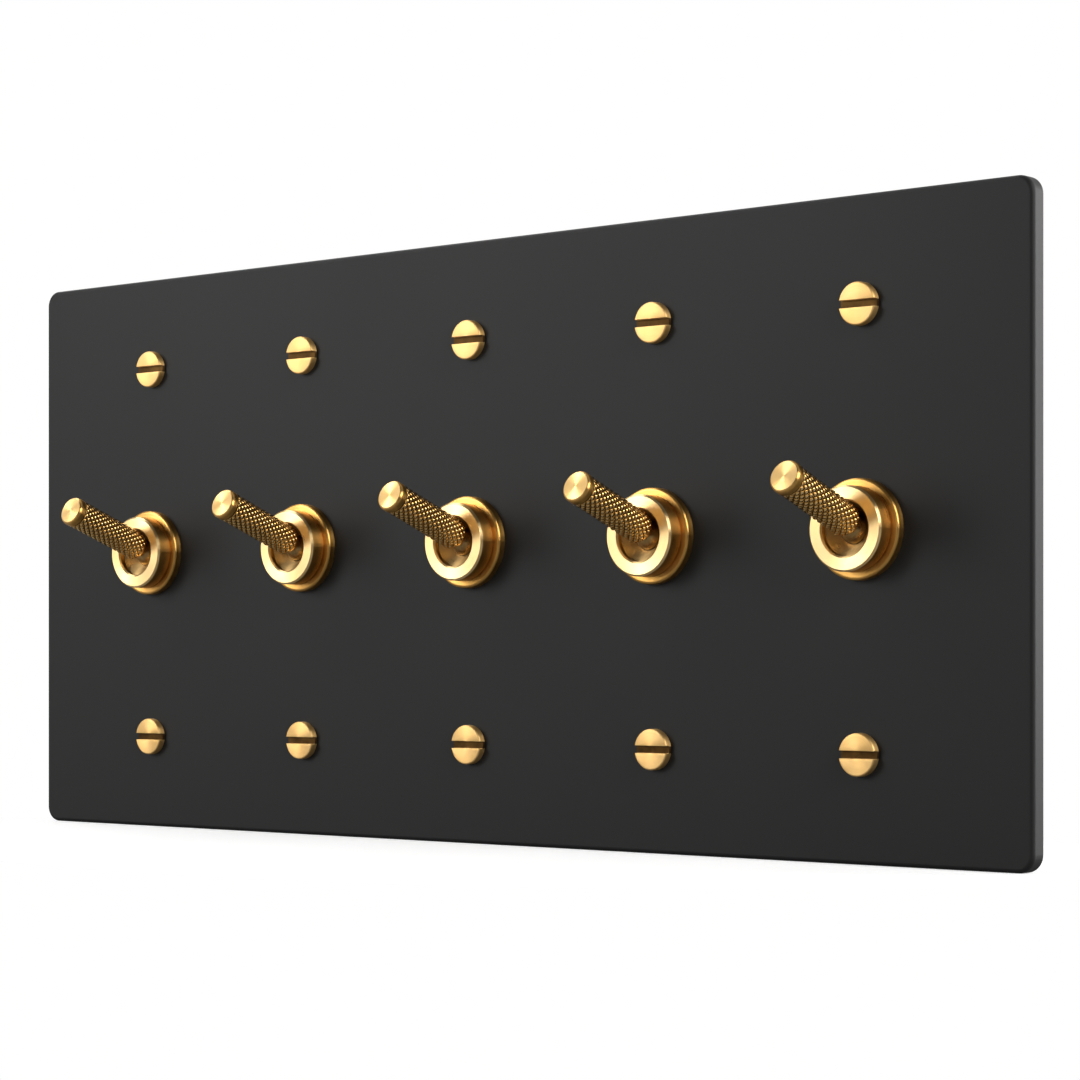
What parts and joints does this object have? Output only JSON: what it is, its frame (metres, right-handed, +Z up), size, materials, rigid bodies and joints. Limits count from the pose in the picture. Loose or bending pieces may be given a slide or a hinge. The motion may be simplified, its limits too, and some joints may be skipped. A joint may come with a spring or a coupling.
{
  "type": "toggle light switch",
  "caption": "Matte black multi-gang wall plate with knurled brass toggle levers that flip up and down, stepped brass collars and slotted brass screws.",
  "frame": {"origin": "centre of the plate on the wall's surface, level with the middle toggle's axis", "axes": "+X along the row of gangs to the right, +Z up the wall, +Y into the wall; the front faces -Y"},
  "size_m": [0.254, 0.0491, 0.118],
  "materials": {
    "plate_finish": "matte black",
    "brass": "satin, lathe turned",
    "knurled_brass": "diamond knurled",
    "terminal_brass": "as rolled",
    "contact_copper": "as rolled",
    "steel": "zinc plated",
    "spring_steel": "drawn wire",
    "moulding": "moulded black"
  },
  "bodies": {
    "plate": {"face_plate": "plate_finish", "plate_screws": "brass", "pivot_pins": "steel", "clamp_nuts": "steel", "terminal_screws": "terminal_brass", "collar_1": "brass", "collar_2": "brass", "collar_3": "brass", "collar_4": "brass", "collar_5": "brass", "bushing_1": "brass", "bushing_2": "brass", "bushing_3": "brass", "bushing_4": "brass", "bushing_5": "brass", "switch_frame_1": "steel", "switch_frame_2": "steel", "switch_frame_3": "steel", "switch_frame_4": "steel", "switch_frame_5": "steel", "switch_case_1": "moulding", "switch_case_2": "moulding", "switch_case_3": "moulding", "switch_case_4": "moulding", "switch_case_5": "moulding", "common_terminal_1": "terminal_brass", "common_terminal_2": "terminal_brass", "common_terminal_3": "terminal_brass", "common_terminal_4": "terminal_brass", "common_terminal_5": "terminal_brass", "load_terminal_1": "terminal_brass", "load_terminal_2": "terminal_brass", "load_terminal_3": "terminal_brass", "load_terminal_4": "terminal_brass", "load_terminal_5": "terminal_brass"},
    "toggle_1": {"lever_1": "knurled_brass", "pivot_ball_1": "brass", "plunger_spring_1": "spring_steel"},
    "striker_1": {"plunger_1": "steel"},
    "rocker_1": {"see_saw_1": "contact_copper"},
    "toggle_2": {"lever_2": "knurled_brass", "pivot_ball_2": "brass", "plunger_spring_2": "spring_steel"},
    "striker_2": {"plunger_2": "steel"},
    "rocker_2": {"see_saw_2": "contact_copper"},
    "toggle_3": {"lever_3": "knurled_brass", "pivot_ball_3": "brass", "plunger_spring_3": "spring_steel"},
    "striker_3": {"plunger_3": "steel"},
    "rocker_3": {"see_saw_3": "contact_copper"},
    "toggle_4": {"lever_4": "knurled_brass", "pivot_ball_4": "brass", "plunger_spring_4": "spring_steel"},
    "striker_4": {"plunger_4": "steel"},
    "rocker_4": {"see_saw_4": "contact_copper"},
    "toggle_5": {"lever_5": "knurled_brass", "pivot_ball_5": "brass", "plunger_spring_5": "spring_steel"},
    "striker_5": {"plunger_5": "steel"},
    "rocker_5": {"see_saw_5": "contact_copper"}
  },
  "joints": [
    {"name": "toggle_1_flip", "type": "hinge", "parent": "plate", "child": "toggle_1", "pos_m": [-0.09208, -0.0047, 0], "axis": [1, 0, 0], "range_deg": [0, 42]},
    {"name": "plunger_1_slide", "type": "slide", "parent": "toggle_1", "child": "striker_1", "axis": [0, 0.9336, -0.3584], "range_m": [-0.0006, 0.00045], "stiffness_N_per_m": 1500, "springref_m": 0.00045, "deforming": ["plunger_spring_1"]},
    {"name": "see_saw_1_tilt", "type": "hinge", "parent": "plate", "child": "rocker_1", "pos_m": [-0.09208, 0.01047, 0], "axis": [1, 0, 0], "range_deg": [-12, 0]},
    {"name": "toggle_2_flip", "type": "hinge", "parent": "plate", "child": "toggle_2", "pos_m": [-0.04604, -0.0047, 0], "axis": [1, 0, 0], "range_deg": [0, 42]},
    {"name": "plunger_2_slide", "type": "slide", "parent": "toggle_2", "child": "striker_2", "axis": [0, 0.9336, -0.3584], "range_m": [-0.0006, 0.00045], "stiffness_N_per_m": 1500, "springref_m": 0.00045, "deforming": ["plunger_spring_2"]},
    {"name": "see_saw_2_tilt", "type": "hinge", "parent": "plate", "child": "rocker_2", "pos_m": [-0.04604, 0.01047, 0], "axis": [1, 0, 0], "range_deg": [-12, 0]},
    {"name": "toggle_3_flip", "type": "hinge", "parent": "plate", "child": "toggle_3", "pos_m": [0, -0.0047, 0], "axis": [1, 0, 0], "range_deg": [0, 42]},
    {"name": "plunger_3_slide", "type": "slide", "parent": "toggle_3", "child": "striker_3", "axis": [0, 0.9336, -0.3584], "range_m": [-0.0006, 0.00045], "stiffness_N_per_m": 1500, "springref_m": 0.00045, "deforming": ["plunger_spring_3"]},
    {"name": "see_saw_3_tilt", "type": "hinge", "parent": "plate", "child": "rocker_3", "pos_m": [0, 0.01047, 0], "axis": [1, 0, 0], "range_deg": [-12, 0]},
    {"name": "toggle_4_flip", "type": "hinge", "parent": "plate", "child": "toggle_4", "pos_m": [0.04604, -0.0047, 0], "axis": [1, 0, 0], "range_deg": [0, 42]},
    {"name": "plunger_4_slide", "type": "slide", "parent": "toggle_4", "child": "striker_4", "axis": [0, 0.9336, -0.3584], "range_m": [-0.0006, 0.00045], "stiffness_N_per_m": 1500, "springref_m": 0.00045, "deforming": ["plunger_spring_4"]},
    {"name": "see_saw_4_tilt", "type": "hinge", "parent": "plate", "child": "rocker_4", "pos_m": [0.04604, 0.01047, 0], "axis": [1, 0, 0], "range_deg": [-12, 0]},
    {"name": "toggle_5_flip", "type": "hinge", "parent": "plate", "child": "toggle_5", "pos_m": [0.09208, -0.0047, 0], "axis": [1, 0, 0], "range_deg": [0, 42]},
    {"name": "plunger_5_slide", "type": "slide", "parent": "toggle_5", "child": "striker_5", "axis": [0, 0.9336, -0.3584], "range_m": [-0.0006, 0.00045], "stiffness_N_per_m": 1500, "springref_m": 0.00045, "deforming": ["plunger_spring_5"]},
    {"name": "see_saw_5_tilt", "type": "hinge", "parent": "plate", "child": "rocker_5", "pos_m": [0.09208, 0.01047, 0], "axis": [1, 0, 0], "range_deg": [-12, 0]}
  ],
  "couplings": [
    {"joint": "see_saw_1_tilt", "follows": "toggle_1_flip", "ratio": -0.28571},
    {"joint": "see_saw_2_tilt", "follows": "toggle_2_flip", "ratio": -0.28571},
    {"joint": "see_saw_3_tilt", "follows": "toggle_3_flip", "ratio": -0.28571},
    {"joint": "see_saw_4_tilt", "follows": "toggle_4_flip", "ratio": -0.28571},
    {"joint": "see_saw_5_tilt", "follows": "toggle_5_flip", "ratio": -0.28571}
  ]
}
